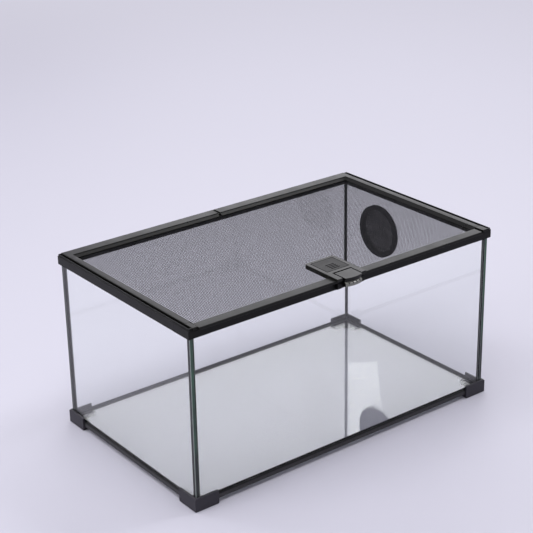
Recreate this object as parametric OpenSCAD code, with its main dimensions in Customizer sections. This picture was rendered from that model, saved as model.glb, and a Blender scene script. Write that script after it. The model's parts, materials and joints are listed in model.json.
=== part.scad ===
// Front-latched, top-opening glass terrarium with a screen lid and a round side vent.
// X runs left to right, Y runs front to back, Z is up. The origin is on the floor, under the centre.

/* [Tank] */
// Outside width of the top frame
tank_w = 500; // [360:5:900]
// Outside depth of the top frame
tank_d = 300; // [240:5:600]
// Height from the floor to the top of the lid
tank_h = 250; // [180:5:500]

/* [Glass] */
// Thickness of every glass pane
glass_t = 5; // [4:0.5:8]
// How far the panes stand inside the frame's outer face
glass_inset = 3; // [2.6:0.2:5]
// Height of the panes' lower edge above the floor
glass_lift = 7; // [5:0.5:12]
// Thickness of the silicone film between two panes
film_t = 0.6; // [0.4:0.1:1.2]
// Radius of the hollow silicone fillets inside the tank
fillet_r = 3; // [2:0.2:5]

/* [Corner feet] */
// Height of the corner feet
foot_h = 19.2; // [15:0.2:30]
// Length of each leg of a foot
foot_leg = 36; // [26:1:60]
// How far a foot stands outside the top frame's face
foot_proud = 0.6; // [0.2:0.1:2]
// Width of the ledge under the panes, measured from the foot's outer face
foot_ledge = 15; // [13:0.5:24]
// Bevel along the foot's upper outer edge
foot_bevel = 1.6; // [0.6:0.1:2.4]

/* [Base trim] */
// Height of the trim strip's lower face above the floor
trim_z = 6; // [4:0.5:6.5]
// Height of the trim strip
trim_h = 8; // [6:0.5:11]
// Thickness of the trim strip's upright web
trim_t = 1.2; // [0.8:0.1:2]

/* [Top frame] */
// Depth of the channel that caps the panes, from the shelf to the lower edge
frame_skirt = 6; // [4:0.5:12]
// Wall thickness of the frame profile
frame_wall = 1.8; // [1.2:0.1:2.2]
// Thickness of the shelf that the lid lies over
shelf_t = 1.6; // [1.2:0.1:3]
// Width of the frame profile, from its outer face to its inner leg
frame_w = 11; // [10.4:0.2:16]
// Leg length of the frame's corner pieces
frame_corner = 31; // [22:1:50]
// How far the side rims' shoulder stands below the top of the lid
rim_drop = 2.5; // [1.5:0.5:4]
// How far the thin lip on the side rims is set back from the frame's outer face
rim_set = 0.8; // [0.4:0.1:1]

/* [Lid] */
// Height of the lid's rails
lid_t = 6.1; // [5.5:0.1:9]
// Gap under the closed lid
lid_gap = 0.3; // [0.2:0.05:0.6]
// Gutter from the frame's outer face to the lid's side edge
gutter_w = 6; // [3:0.5:9]
// Width of the lid's side rails
side_rail_w = 9; // [8:0.5:16]
// Width of the lid's front rail
front_rail_w = 15.5; // [13:0.5:24]
// Width of the lid's back rail
back_rail_w = 16; // [13:0.5:24]
// How far the lid stands in front of the frame
front_lip = 4; // [1:0.5:6]
// How far the lid stands behind the frame
back_lip = 1; // [0.5:0.25:2]
// Thickness of the lid's overhanging lips
lip_t = 3.6; // [3:0.1:5]
// Width of the inner ledge that holds the screen
ledge_w = 4; // [3.6:0.2:6]
// Length of the back corner pieces of the lid
lid_corner_leg = 24; // [22:1:40]
// Length of the front left corner piece along the front
lid_corner_l = 7; // [5:0.5:9]
// Length of the front right corner piece along the front
lid_corner_r = 14.5; // [13:0.5:20]
// Width of the gap between the two halves of the back rail
joiner_gap = 4; // [2:0.5:8]
// Sideways offset of that gap from the middle of the back
joiner_x = 2; // [-60:1:60]

/* [Screen] */
// Spacing of the screen's bars
screen_pitch = 20; // [16:1:40]
// Width of the screen's bars
screen_bar = 1.2; // [0.8:0.1:2]
// Thickness of the screen
screen_t = 0.5; // [0.3:0.1:0.6]
// Width of the rubber spline that clamps the screen
spline_w = 1.9; // [1.5:0.1:2.2]

/* [Latch] */
// Sideways offset of the latch from the middle of the front
latch_x = -4; // [-60:1:60]
// Width of the latch body
latch_w = 47; // [42:1:70]
// Length of the latch body, front to back
latch_l = 66; // [56:1:90]
// Radius of the latch body's rear corners
latch_corner = 3.5; // [1:0.5:8]
// How far the latch body stands in front of the frame
latch_front = 6.5; // [6:0.5:8]
// How far the latch body stands above the lid
latch_up = 3; // [2.6:0.2:5]
// Thickness of the latch body over the screen
latch_t = 5.6; // [4:0.2:6]
// Width of the latch's tongue
tongue_w = 27; // [20:1:31]
// Slit on each side of the tongue
tongue_slit = 2; // [1:0.1:2]
// Thickness of the tongue's plate
tongue_t = 2.4; // [1.8:0.1:2.6]
// Thickness of the tongue's front wall
tongue_wall = 2.2; // [1.8:0.1:2.4]
// How far the front wall is set back under the tongue's plate
tongue_groove = 1.8; // [1:0.1:2]
// Radius of the tongue's bowed front
tongue_bow = 38; // [30:1:60]
// How far the tongue stands in front of the frame
tongue_front = 12.6; // [12:0.2:14]
// Height of the tongue at its front
tongue_drop = 11.5; // [10.5:0.5:13]
// How far the finger lip stands in front of the tongue's plate
tongue_lip = 0.3; // [0:0.1:1]
// Radius of the barrel at the tongue's rear
barrel_r = 2.8; // [2.4:0.1:3]
// Radius of the latch pin
latch_pin_r = 1.2; // [0.8:0.1:1.5]
// Width of the catch on the frame
catch_w = 44; // [38:1:60]
// How far the catch's foot stands above the frame's lower edge
catch_lift = 1.8; // [0:0.2:2.4]

/* [Hinges] */
// Distance of each hinge's middle from the tank's side
hinge_inset = 100; // [60:5:120]
// Radius of the hinge knuckles
knuckle_r = 3; // [2.6:0.1:3.4]
// Radius of the hinge pins
hinge_pin_r = 1.25; // [0.9:0.05:1.6]
// Width of the lid's lug between the two fixed knuckles
lug_w = 12; // [8:1:20]
// Width of each fixed knuckle
knuckle_w = 8; // [5:1:14]
// Width of the fixed leaf
leaf_w = 46; // [42:1:70]
// Thickness of the fixed leaf
leaf_t = 1.5; // [1:0.1:2.5]

/* [Vent] */
// Distance of the vent's middle from the tank's back
vent_inset = 80.6; // [60:0.2:110]
// Gap between the vent and the top frame
vent_gap = 16.7; // [4:0.1:40]
// Radius of the vent's outer flange
vent_r = 39.7; // [30:0.1:44]
// Width of the flange outside the neck
vent_lip = 4.2; // [3:0.2:8]
// Thickness of the vent's outer flange
vent_t = 1.6; // [1.4:0.1:3]
// Wall thickness of the vent's neck
neck_t = 1.7; // [1.4:0.1:3]
// Thickness of the inner retaining ring
ring_t = 1.4; // [1.2:0.1:3]
// Spacing of the holes in the vent's grille
hole_pitch = 6; // [5:0.5:10]
// Radius of the holes in the vent's grille
hole_r = 2; // [1:0.1:2.2]

/* [Hidden] */
$fn = 48;
fit = 0.05;          // radial clearance of a turning or plugged-in fit
slack = 0.4;         // clearance between the lid and the frame
wall_gap = 0.5;      // clearance between the frame's walls and the rails inside them
swing = 0.3;         // clearance beside and behind what turns
edge = 0.6;          // small bevel on the rails' outer edges
screw_r = 1;         // shank of the hinge screws
screw_head_r = 2.2;  // head of the hinge screws

// Heights
lid_bottom = tank_h - lid_t;
shelf_z = lid_bottom - lid_gap;
glass_top = shelf_z - shelf_t;
frame_z = glass_top - frame_skirt;
rim_z = tank_h - rim_drop;
rim_lip_z = tank_h - 0.2;
lip_z = tank_h - lip_t;
wall_z = lip_z - slack;
ledge_z = lid_bottom + 0.7;
ledge_low = ledge_z + 1.6;
ledge_high = tank_h - 1.2;
groove_top = ledge_z + 1.9;
groove_in = 0.9;     // from a rail's inner face to the spline groove
pane_top = glass_lift + glass_t;

// Half sizes
half_w = tank_w / 2;
half_d = tank_d / 2;
pane_x = half_w - glass_inset;
pane_y = half_d - glass_inset;
in_x = pane_x - glass_t;
in_y = pane_y - glass_t;
lid_x = half_w - gutter_w;
lid_front = half_d + front_lip;
lid_back = half_d + back_lip;
inner_front = lid_front - front_rail_w - ledge_w;
inner_back = lid_back - back_rail_w - ledge_w;
corner_back = front_lip - 0.3;
joiner_l = joiner_x - joiner_gap / 2;

// Tenons that join the halves of the front and back rails
plug = 10;
front_plug_y = -lid_front + 10.5;
back_plug_y = lid_back - 9;
step_y = half_d - frame_wall - wall_gap;

// Latch
pivot_y = lid_front - front_rail_w + 1;
pivot_z = tank_h + latch_up - barrel_r;
bow_y = half_d + tongue_front - tongue_bow;
slot_w = tongue_w + 2 * tongue_slit;
tongue_z = tank_h + latch_up - tongue_drop;
nose_h = 2;
nose_y = half_d + latch_front - 1.1;
catch_d = nose_y - slack - half_d;

// Hinge axis, behind the lid's back edge
hinge_x = half_w - hinge_inset;
axis_y = lid_back + slack + knuckle_r;
axis_z = lip_z - 1.8;
tenon_h = 2;
tenon_l = 8;
tenon_z = tank_h - 1 - tenon_h;

// Vent
vent_y = half_d - vent_inset;
vent_z = frame_z - vent_gap - vent_r;
neck_r = vent_r - vent_lip;
neck_l = glass_t + ring_t;
grille_r = neck_r - neck_t;
grille_t = 0.8;
seat_w = 1.2;        // width of the seat behind the grille

// ---- Helpers -------------------------------------------------------------

// A 2D profile drawn as (inward, up), swept along +X for len
module run_x(len) {
    rotate([90, 0, 90]) linear_extrude(len) children();
}

// The same profile swept along +Y
module run_y(len) {
    mirror([0, 1, 0]) rotate([90, 0, 0]) linear_extrude(len) children();
}

// Moves a front left corner's geometry, drawn from (0, 0) inward, to any corner
module at_corner(x, y, right, back) {
    mirror([right ? 1 : 0, 0, 0])
        mirror([0, back ? 1 : 0, 0])
            translate([-x, -y, 0])
                children();
}

// An L of two profiles that meet on the seam: child 0 runs along X, child 1 along Y
module corner_l(leg_x, leg_y, seam) {
    last = seam[len(seam) - 1];
    intersection() {
        translate([seam[0][0], 0, 0]) run_x(leg_x - seam[0][0]) children(0);
        linear_extrude(tank_h * 2) polygon(concat(seam, [[leg_x, last[1]], [leg_x, seam[0][1]]]));
    }
    intersection() {
        translate([0, seam[0][1], 0]) run_y(leg_y - seam[0][1]) children(1);
        linear_extrude(tank_h * 2) polygon(concat(seam, [[last[0], leg_y], [seam[0][0], leg_y]]));
    }
}

// ---- Glass and silicone ----------------------------------------------------

module glass_bottom() {
    bx = in_x - film_t;
    by = in_y - film_t;
    color("#a9cfc4", 0.3) translate([-bx, -by, glass_lift]) cube([2 * bx, 2 * by, glass_t]);
}

// The front and back panes stand between the side panes
module end_pane(back) {
    bx = in_x - film_t;
    color("#a9cfc4", 0.3)
        translate([-bx, back ? in_y : -pane_y, glass_lift])
            cube([2 * bx, glass_t, glass_top - glass_lift]);
}

module side_pane(right) {
    color("#a9cfc4", 0.3) difference() {
        translate([right ? in_x : -pane_x, -pane_y, glass_lift])
            cube([glass_t, 2 * pane_y, glass_top - glass_lift]);
        if (right) vent_place() cylinder(h = glass_t * 4, r = neck_r + fit, center = true, $fn = 96);
    }
}

// Film between two panes with a hollow fillet inside the corner
module corner_seal(right, back) {
    color("#15171a") at_corner(in_x, in_y, right, back) {
        translate([0, -glass_t, glass_lift]) cube([film_t, glass_t, glass_top - glass_lift]);
        translate([0, 0, pane_top]) linear_extrude(glass_top - pane_top) fillet_outline();
    }
}

// Hollow-faced triangle between two walls
module fillet_outline() {
    difference() {
        square(fillet_r);
        translate([fillet_r, fillet_r]) circle(r = fillet_r);
    }
}

// Film beside the bottom pane and the hollow fillet on top of it
module floor_seal_profile() {
    translate([0, glass_lift]) square([film_t, glass_t]);
    translate([0, pane_top]) fillet_outline();
}

module seal_bottom() {
    stop = fillet_r;
    color("#15171a") {
        for (side = [0, 1]) {
            mirror([0, side, 0])
                translate([-in_x + stop, -in_y, 0])
                    run_x(2 * (in_x - stop)) floor_seal_profile();
            mirror([side, 0, 0])
                translate([-in_x, -in_y + stop, 0])
                    run_y(2 * (in_y - stop)) floor_seal_profile();
        }
    }
}

// ---- Corner feet and base trim ----------------------------------------------

// Wall outside the glass with a ledge that carries the panes
module foot_profile() {
    wall = foot_proud + glass_inset;
    polygon([
        [0, 0.8], [0.8, 0], [foot_ledge, 0], [foot_ledge, glass_lift],
        [wall, glass_lift], [wall, foot_h], [foot_bevel, foot_h], [0, foot_h - foot_bevel]
    ]);
}

module foot(right, back) {
    web = foot_ledge - 1;
    gusset = 12;
    color("#37353c") at_corner(half_w + foot_proud, half_d + foot_proud, right, back)
        difference() {
            union() {
                corner_l(foot_leg, foot_leg, [[0, 0], [foot_ledge, foot_ledge]]) {
                    foot_profile();
                    foot_profile();
                }
                // Gusset across the inner corner
                translate([web, web, 0.8]) linear_extrude(glass_lift - 0.8)
                    polygon([[0, 0], [gusset, 0], [0, gusset]]);
            }
            // Each leg's free end is cut back at the bottom
            for (turn = [0, 1])
                mirror([turn, -turn, 0])
                    translate([foot_leg, -1, 0])
                        rotate([0, 45, 0])
                            cube([2, foot_ledge * 3, 2], center = true);
        }
}

// L-shaped strip that caps the panes' lower edges between two feet
module trim_profile() {
    polygon([
        [0, trim_z], [trim_t + glass_t + 1, trim_z], [trim_t + glass_t + 1, glass_lift],
        [trim_t, glass_lift], [trim_t, trim_z + trim_h], [0.3, trim_z + trim_h],
        [0, trim_z + trim_h - 0.3]
    ]);
}

module trim_x(back) {
    reach = half_w + foot_proud - foot_leg;
    color("#333239") mirror([0, back ? 1 : 0, 0])
        translate([-reach, -pane_y - trim_t, 0]) run_x(2 * reach) trim_profile();
}

module trim_y(right) {
    reach = half_d + foot_proud - foot_leg;
    color("#333239") mirror([right ? 1 : 0, 0, 0])
        translate([-pane_x - trim_t, -reach, 0]) run_y(2 * reach) trim_profile();
}

// ---- Top frame ------------------------------------------------------------------

// Channel over the panes; top is the outline of its outer wall's upper end
module frame_profile(top) {
    inner = frame_w - frame_wall;
    polygon(concat([[0, frame_z]], top, [
        [frame_wall, shelf_z], [frame_w, shelf_z], [frame_w, frame_z], [inner, frame_z],
        [inner, glass_top], [frame_wall, glass_top], [frame_wall, frame_z]
    ]));
}

// Front and back walls end below the lid's lips
module low_profile() {
    frame_profile([[0, wall_z - edge], [edge, wall_z], [frame_wall, wall_z]]);
}

// Side walls have a shoulder and a thin lip that stands as high as the lid
module rim_profile() {
    frame_profile([
        [0, rim_z - 0.3], [0.3, rim_z], [rim_set, rim_z], [rim_set, rim_lip_z - 0.2],
        [rim_set + 0.2, rim_lip_z], [frame_wall, rim_lip_z]
    ]);
}

module frame_corner_piece(right, back) {
    color("#2b2b27") at_corner(half_w, half_d, right, back) {
        corner_l(frame_corner, frame_corner, [[0, 0], [frame_w, frame_w]]) {
            low_profile();
            rim_profile();
        }
        // The rim turns the corner and ends beside the lid
        translate([rim_set, rim_set, wall_z - 1])
            cube([gutter_w - slack - rim_set, frame_wall - rim_set, rim_lip_z - wall_z + 1]);
        translate([edge, 0.3, wall_z - 1])
            cube([gutter_w - slack - edge, frame_wall - 0.3, rim_z - wall_z + 1]);
    }
}

module frame_side(right) {
    color("#2b2b27") mirror([right ? 1 : 0, 0, 0])
        translate([-half_w, -half_d + frame_corner, 0])
            run_y(tank_d - 2 * frame_corner) rim_profile();
}

// Part of the front rail from one X to another
module frame_front(from, to) {
    color("#2b2b27") translate([from, -half_d, 0]) run_x(to - from) low_profile();
}

module frame_rail_back() {
    color("#2b2b27") difference() {
        mirror([0, 1, 0])
            translate([-half_w + frame_corner, -half_d, 0])
                run_x(tank_w - 2 * frame_corner) low_profile();
        hinge_screw_places() cylinder(h = 12, r = screw_r + fit, center = true);
    }
}

// The catch takes the place of the rail in front of the latch
module front_catch() {
    low = frame_z + catch_lift;
    boss_w = tongue_w - 7;
    bead = 1.2;
    bead_z = tongue_z + nose_h + 0.6;
    color("#1d1d1b") translate([latch_x, -half_d, 0]) {
        translate([-catch_w / 2, 0, 0]) run_x(catch_w) low_profile();
        // Two cheeks beside the tongue
        for (side = [0, 1])
            mirror([side, 0, 0])
                translate([slot_w / 2, -catch_d, 0]) run_x((catch_w - slot_w) / 2) polygon([
                    [0, low + 1], [1, low], [catch_d, low],
                    [catch_d, wall_z], [edge, wall_z], [0, wall_z - edge]
                ]);
        // Boss behind the tongue, with the bead that the nose snaps under
        translate([-boss_w / 2, -catch_d, 0]) run_x(boss_w) polygon([
            [bead, low + 1], [bead + 1, low], [catch_d, low], [catch_d, wall_z],
            [edge, wall_z], [0, wall_z - edge], [0, bead_z + 0.3], [0.3, bead_z], [bead, bead_z]
        ]);
    }
}

// ---- Hinges ---------------------------------------------------------------------

module hinge_places() {
    for (side = [-1, 1]) translate([side * hinge_x, 0, 0]) children();
}

// The screws lie along Y, heads at the back
module leaf_screw_places() {
    for (side = [-1, 1])
        translate([side * (leaf_w / 2 - 4), half_d, frame_z + 4.2]) rotate([-90, 0, 0]) children();
}

module hinge_screw_places() {
    hinge_places() leaf_screw_places() children();
}

// A round bar on the hinge axis
module on_axis(r, from, to) {
    translate([from, axis_y, axis_z]) rotate([0, 90, 0]) cylinder(h = to - from, r = r);
}

module hinge_leaf(side) {
    low = frame_z + 0.6;
    high = frame_z + 8.2;
    inner = lug_w / 2 + swing;
    color("#191919") translate([side * hinge_x, 0, 0]) difference() {
        union() {
            difference() {
                translate([-leaf_w / 2, half_d, low]) cube([leaf_w, leaf_t, high - low]);
                // Notch behind the turning lug
                translate([-inner, half_d - 1, axis_z - knuckle_r - swing])
                    cube([2 * inner, leaf_t + 2, 2 * knuckle_r]);
            }
            for (turn = [0, 1]) mirror([turn, 0, 0]) {
                on_axis(knuckle_r, inner, inner + knuckle_w);
                // Arm from the leaf up to the knuckle
                translate([inner, 0, 0]) run_x(knuckle_w) polygon([
                    [half_d, low], [half_d + leaf_t, low],
                    [axis_y + knuckle_r * 0.77, axis_z - knuckle_r * 0.64],
                    [axis_y, axis_z], [axis_y - knuckle_r * 0.8, axis_z - knuckle_r * 0.6],
                    [half_d + leaf_t, high], [half_d, high]
                ]);
            }
        }
        on_axis(hinge_pin_r, -leaf_w, leaf_w);
        leaf_screw_places() cylinder(h = 12, r = screw_r + fit, center = true);
    }
}

module hinge_pin(side) {
    reach = lug_w / 2 + swing + knuckle_w;
    color("#8f9296") translate([side * hinge_x, 0, 0]) {
        on_axis(hinge_pin_r, -reach, reach);
        on_axis(hinge_pin_r + 0.9, reach, reach + 0.9);
    }
}

module hinge_screws() {
    tip = frame_wall + 0.8;
    color("#8f9296") hinge_screw_places() translate([0, 0, leaf_t]) {
        translate([0, 0, -leaf_t - tip]) cylinder(h = leaf_t + tip, r = screw_r);
        difference() {
            cylinder(h = 1.3, r = screw_head_r);
            for (turn = [0, 90])
                rotate([0, 0, turn])
                    translate([-1.4, -0.25, 0.7]) cube([2.8, 0.5, 1]);
        }
    }
}

// The lug plugs into the lid's back rail and turns on the pin
module hinge_lug(side) {
    color("#191919") translate([side * hinge_x, 0, 0]) difference() {
        union() {
            on_axis(knuckle_r, -lug_w / 2, lug_w / 2);
            // Arm from the lid's back face down to the knuckle
            translate([-lug_w / 2, 0, 0]) run_x(lug_w) polygon([
                [lid_back, lip_z + 0.2], [axis_y, axis_z],
                [axis_y + knuckle_r * 0.9, axis_z + knuckle_r * 0.4],
                [lid_back + 1, tank_h - 0.8], [lid_back, tank_h - 0.8]
            ]);
            translate([-lug_w / 2 + 1, lid_back - tenon_l, tenon_z])
                cube([lug_w - 2, tenon_l + 0.6, tenon_h]);
        }
        on_axis(hinge_pin_r + fit, -leaf_w, leaf_w);
    }
}

// ---- Vent -----------------------------------------------------------------------

// The vent's axis lies along X; Z = 0 here is the right pane's outer face
module vent_place() {
    translate([pane_x, vent_y, vent_z]) rotate([0, 90, 0]) children();
}

// Flange outside the pane and a neck through it, with a seat for the grille
module vent_flange() {
    seat = -neck_l + 0.3 + grille_t;
    color("#232327") vent_place() rotate_extrude($fn = 96) polygon([
        [grille_r, -neck_l], [neck_r, -neck_l], [neck_r, 0], [vent_r, 0], [vent_r, vent_t - edge],
        [vent_r - edge, vent_t], [grille_r + edge, vent_t], [grille_r, vent_t - edge],
        [grille_r, seat + 1], [grille_r - seat_w, seat + 1], [grille_r - seat_w, seat],
        [grille_r, seat]
    ]);
}

// Rows of round holes in a staggered pattern
module vent_grille() {
    row = hole_pitch * sqrt(3) / 2;
    far = grille_r - seat_w - hole_r - 0.6;
    n = ceil(far / row);
    color("#2b2a2f") vent_place() translate([0, 0, -neck_l + 0.3]) linear_extrude(grille_t)
        difference() {
            circle(r = grille_r - fit, $fn = 96);
            for (j = [-n:n], i = [-n:n]) {
                p = [(i + (abs(j) % 2) / 2) * hole_pitch, j * row];
                if (norm(p) < far) translate(p) circle(r = hole_r, $fn = 24);
            }
        }
}

// Retaining ring on the neck, against the pane's inner face
module vent_ring() {
    color("#232327") vent_place() rotate_extrude($fn = 96) polygon([
        [neck_r + fit, -neck_l], [vent_r - edge, -neck_l], [vent_r, -neck_l + edge],
        [vent_r, -glass_t], [neck_r + fit, -glass_t]
    ]);
}

// ---- Lid ------------------------------------------------------------------------

// A rail's upper outline, from its outer edge to its inner one
function rail_top(w) = [
    [0, tank_h - 1], [0.3, tank_h - 0.3], [1, tank_h], [w - 0.4, tank_h], [w, tank_h - 0.4]
];

// The sloping inner ledge that holds the screen, down and round the spline groove
function ledge_path(w) = let (a = w + groove_in, b = a + spline_w + 2 * fit) [
    [w, ledge_high], [w + ledge_w, ledge_low], [w + ledge_w, ledge_z], [b, ledge_z],
    [b, groove_top], [a, groove_top], [a, ledge_z], [w, ledge_z], [w, lid_bottom]
];

module side_profile() {
    polygon(concat([[0, lid_bottom]], rail_top(side_rail_w), ledge_path(side_rail_w)));
}

// Front and back rails: step is where the overhanging lip ends
module end_profile(w, step) {
    polygon(concat([[step, lip_z], [0, lip_z]], rail_top(w), ledge_path(w), [[step, lid_bottom]]));
}

module front_profile() {
    end_profile(front_rail_w, lid_front - step_y);
}

module back_profile() {
    end_profile(back_rail_w, lid_back - step_y);
}

// Flat tenon along X inside two rail halves, or its pocket when it is grown by the fit
module tenon_x(from, to, y, grow) {
    translate([from, y - 3 - grow, tenon_z - 1 - grow])
        cube([to - from, 6 + 2 * grow, tenon_h + 2 * grow]);
}

// One half of the front rail, with the pocket for the latch body's tenon
module lid_rail_front(from, to) {
    color("#33332f") difference() {
        translate([from, -lid_front, 0]) run_x(to - from) front_profile();
        tenon_x(latch_x - latch_w / 2 - plug, latch_x + latch_w / 2 + plug, front_plug_y, fit);
    }
}

// One half of the back rail, with pockets for the joiner and for a hinge lug
module lid_rail_back(from, to) {
    color("#33332f") difference() {
        translate([from, lid_back, 0]) mirror([0, 1, 0]) run_x(to - from) back_profile();
        tenon_x(joiner_l - plug, joiner_l + joiner_gap + plug, back_plug_y, fit);
        hinge_places()
            translate([-lug_w / 2 + 1 - fit, lid_back - tenon_l - fit, tenon_z - fit])
                cube([lug_w - 2 + 2 * fit, tenon_l + 1, tenon_h + 2 * fit]);
    }
}

module lid_side(right) {
    color("#33332f") mirror([right ? 1 : 0, 0, 0])
        translate([-lid_x, -inner_front, 0])
            run_y(inner_front + lid_back - lid_corner_leg) side_profile();
}

// Back corners: both rail profiles meet on one seam
module lid_corner_back(right) {
    leg = lid_corner_leg;
    color("#2f2f2b") at_corner(lid_x, lid_back, right, true) difference() {
        corner_l(leg, leg,
                 [[0, 0], [side_rail_w, back_rail_w], [side_rail_w + ledge_w, back_rail_w + ledge_w]]) {
            back_profile();
            side_profile();
        }
        // The overhanging lip goes on to the side edge
        translate([-1, -1, lid_bottom - 1]) cube([leg + 2, lid_back - step_y + 1, lip_z - lid_bottom + 1]);
    }
}

// Front corners: a plain block that ends the side rail, set back from the front lip
module lid_corner_front(right) {
    reach = right ? lid_corner_r : lid_corner_l;
    rail = front_rail_w - corner_back;
    deep = rail + ledge_w;
    step = lid_front - step_y - corner_back;
    color("#2f2f2b") at_corner(lid_x, lid_front - corner_back, right, false) {
        run_x(min(reach, side_rail_w))
            polygon(concat([[step, lip_z], [0, lip_z]], rail_top(deep),
                           [[deep, lid_bottom], [step, lid_bottom]]));
        // Low bridge to the front rail, which leaves a notch beside the wide corner
        if (right)
            translate([side_rail_w - 1, 0, 0]) run_x(reach - side_rail_w + 1) polygon([
                [step, lid_bottom], [rail, lid_bottom], [rail, ledge_z], [deep, ledge_z],
                [deep, ledge_low], [step, ledge_low]
            ]);
    }
}

// A recessed bar that plugs into both halves of the back rail
module lid_joiner() {
    step = lid_back - step_y;
    low = tank_h - 1.6;
    tab = tank_h - 0.3;
    color("#1b1b1a") {
        translate([joiner_l, lid_back, 0]) mirror([0, 1, 0]) run_x(joiner_gap) polygon([
            [0, lip_z], [0, tab], [3, tab], [3, low],
            [back_rail_w, low], [back_rail_w, lid_bottom], [step, lid_bottom], [step, lip_z]
        ]);
        tenon_x(joiner_l - plug, joiner_l + joiner_gap + plug, back_plug_y, 0);
    }
}

// A sheet with square openings, held between the ledge and the spline
module lid_screen() {
    clear = groove_in + spline_w + 2 * fit;
    x = lid_x - side_rail_w - clear;
    front = inner_front + ledge_w - clear;
    back = inner_back + ledge_w - clear;
    columns = floor((2 * x - screen_bar) / screen_pitch);
    rows = floor((front + back - screen_bar) / screen_pitch);
    opening = screen_pitch - screen_bar;
    color("#26262b") translate([0, (back - front) / 2, ledge_z - screen_t])
        linear_extrude(screen_t) difference() {
            square([2 * x, front + back], center = true);
            for (i = [0:columns - 1], j = [0:rows - 1])
                translate([(i + 0.5 - columns / 2) * screen_pitch, (j + 0.5 - rows / 2) * screen_pitch])
                    square(opening, center = true);
        }
}

// Four rubber strips in the rails' grooves
module lid_spline() {
    high = 2.2;
    low = ledge_z - screen_t;
    x = lid_x - side_rail_w - groove_in - fit;
    front = inner_front + ledge_w - groove_in - fit;
    back = inner_back + ledge_w - groove_in - fit;
    // The strips along the back stop short of the ones along the sides
    free = 6;
    from = [-lid_x + lid_corner_l, latch_x + latch_w / 2];
    to = [latch_x - latch_w / 2, lid_x - lid_corner_r];
    color("#101012") {
        for (side = [-1, 1])
            translate([side * x - (side > 0 ? spline_w : 0), -inner_front, low])
                cube([spline_w, inner_front + inner_back, high]);
        for (part = [0, 1]) {
            translate([from[part], -front, low]) cube([to[part] - from[part], spline_w, high]);
            translate([part ? joiner_l + joiner_gap : -x + free, back - spline_w, low])
                cube([x - free + (part ? -joiner_l - joiner_gap : joiner_l), spline_w, high]);
        }
    }
}

// ---- Latch ----------------------------------------------------------------------

// Plan of the latch body, rear corners rounded
module latch_outline() {
    w = latch_w / 2;
    r = latch_corner;
    front = half_d + latch_front;
    translate([-w, -front]) square([latch_w, latch_l - r]);
    translate([-w + r, -front]) square([latch_w - 2 * r, latch_l]);
    for (side = [-1, 1]) translate([side * (w - r), latch_l - front - r]) circle(r = r);
}

module latch_body() {
    w = latch_w / 2;
    top = tank_h + latch_up;
    rear = half_d + latch_front - latch_l;
    panel = [latch_w - 10, pivot_y - rear - 14];
    color("#3b3b37") translate([latch_x, 0, 0]) difference() {
        union() {
            // Section of front rail between the two halves
            translate([-w, -lid_front, 0]) run_x(latch_w) front_profile();
            // Plate, thicker over the screen than over the rail
            translate([0, 0, tank_h - 1]) linear_extrude(latch_up + 1) latch_outline();
            translate([0, 0, top - latch_t]) linear_extrude(latch_t) intersection() {
                latch_outline();
                translate([-w, -pivot_y]) square([latch_w, latch_l]);
            }
            tenon_x(-w - plug, w + plug, front_plug_y, 0);
        }
        // Slot for the tongue, open at the front
        translate([-slot_w / 2, -lid_front - 20, pivot_z - barrel_r - 0.5])
            cube([slot_w, 20 + lid_front - pivot_y + barrel_r + 0.5, 20]);
        translate([-slot_w / 2, -lid_front - 20, lid_bottom - 1])
            cube([slot_w, 20 + lid_front - step_y, 20]);
        // Pin bore through both cheeks
        translate([-w + 3, -pivot_y, pivot_z])
            rotate([0, 90, 0]) cylinder(h = latch_w, r = latch_pin_r + 0.02);
        // Groove that outlines the panel behind the tongue
        translate([0, -rear - 5 - panel[1] / 2, top - 0.7]) linear_extrude(2) difference() {
            square(panel, center = true);
            square(panel - [1.8, 1.8], center = true);
        }
        // Grip grooves across the panel
        for (k = [0:3])
            translate([-7, -pivot_y + 14 + k * 4, top - 0.8]) cube([14, 1.6, 2]);
    }
}

module latch_pin() {
    w = latch_w / 2;
    color("#8f9296") translate([latch_x - w + 3.2, -pivot_y, pivot_z])
        rotate([0, 90, 0]) cylinder(h = latch_w - 3.4, r = latch_pin_r);
}

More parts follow.
